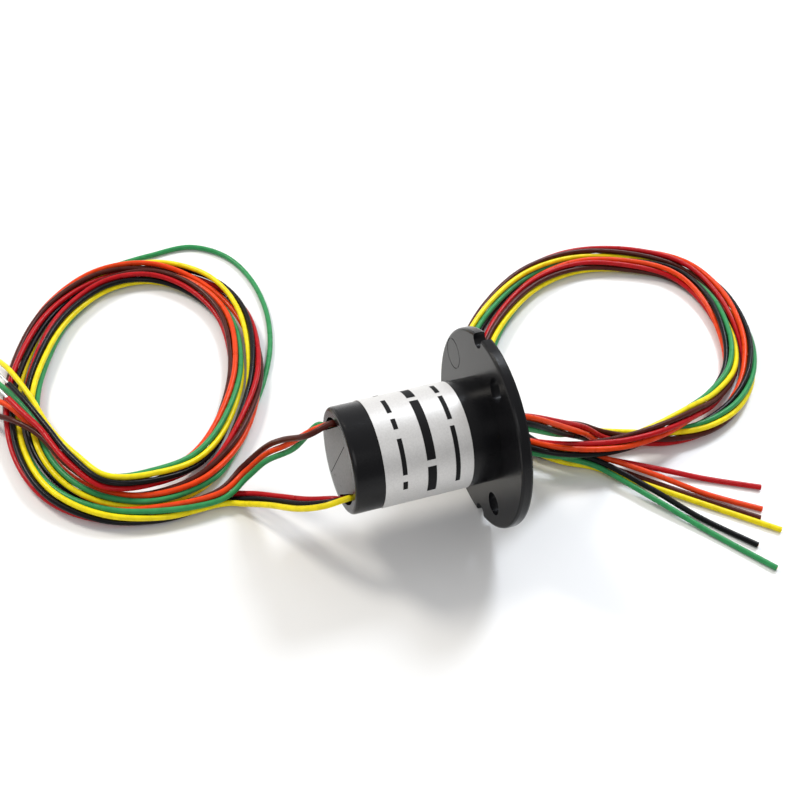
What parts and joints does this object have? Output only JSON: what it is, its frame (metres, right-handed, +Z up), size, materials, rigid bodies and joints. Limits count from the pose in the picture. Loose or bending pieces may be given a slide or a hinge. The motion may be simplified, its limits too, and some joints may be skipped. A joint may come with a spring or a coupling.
{
  "type": "slip ring",
  "caption": "Miniature capsule slip ring: round black barrel with a thin screw flange, a turning hub, and flying leads coiled at both ends.",
  "frame": {"origin": "centre of the flange's seat face, the side toward the barrel, on the ring axis", "axes": "+X along the ring axis, from the barrel through the flange to the turning hub; +Z up as the part lies with its flange rim on the table; +Y across"},
  "size_m": [0.107, 0.0797, 0.024],
  "materials": {
    "housing": "moulded black",
    "end_plate": "moulded black",
    "carrier": "moulded dark grey",
    "label": "silver film sticker",
    "board": "green solder mask",
    "brush_wire": "gold alloy wire",
    "gold_ring": "gold plated",
    "insulator": "natural",
    "bearing_steel": "ground",
    "steel": "plain",
    "rotor": "moulded black",
    "lead_bundle": "bundle of the coloured leads",
    "lead_black": "smooth",
    "lead_brown": "smooth",
    "lead_red": "smooth",
    "lead_orange": "smooth",
    "lead_yellow": "smooth",
    "lead_green": "smooth"
  },
  "bodies": {
    "stator": {"flange_housing": "housing", "end_plate": "end_plate", "body_label": "label", "bearing_carrier": "carrier", "upper_brush_board": "board", "lower_brush_board": "board", "brush_1": "brush_wire", "brush_2": "brush_wire", "brush_3": "brush_wire", "brush_4": "brush_wire", "brush_5": "brush_wire", "brush_6": "brush_wire", "front_outer_race": "bearing_steel", "rear_outer_race": "bearing_steel", "stator_lead_black": "lead_black", "stator_lead_brown": "lead_brown", "stator_lead_red": "lead_red", "stator_lead_orange": "lead_orange", "stator_lead_yellow": "lead_yellow", "stator_lead_green": "lead_green", "stator_lead_coil": "lead_bundle"},
    "rotor": {"rotor_core": "rotor", "contact_ring_1": "gold_ring", "contact_ring_2": "gold_ring", "contact_ring_3": "gold_ring", "contact_ring_4": "gold_ring", "contact_ring_5": "gold_ring", "contact_ring_6": "gold_ring", "insulator_1": "insulator", "insulator_2": "insulator", "insulator_3": "insulator", "insulator_4": "insulator", "insulator_5": "insulator", "insulator_6": "insulator", "insulator_7": "insulator", "front_sleeve": "steel", "rear_sleeve": "steel", "front_inner_race": "bearing_steel", "rear_inner_race": "bearing_steel", "front_ball_set": "bearing_steel", "rear_ball_set": "bearing_steel", "retaining_clip": "steel", "rotor_lead_black": "lead_black", "rotor_lead_brown": "lead_brown", "rotor_lead_red": "lead_red", "rotor_lead_orange": "lead_orange", "rotor_lead_yellow": "lead_yellow", "rotor_lead_green": "lead_green", "rotor_lead_coil": "lead_bundle"}
  },
  "joints": [
    {"name": "rotor_spin", "type": "hinge", "parent": "stator", "child": "rotor", "pos_m": [0, 0, 0], "axis": [1, 0, 0], "continuous": true}
  ]
}
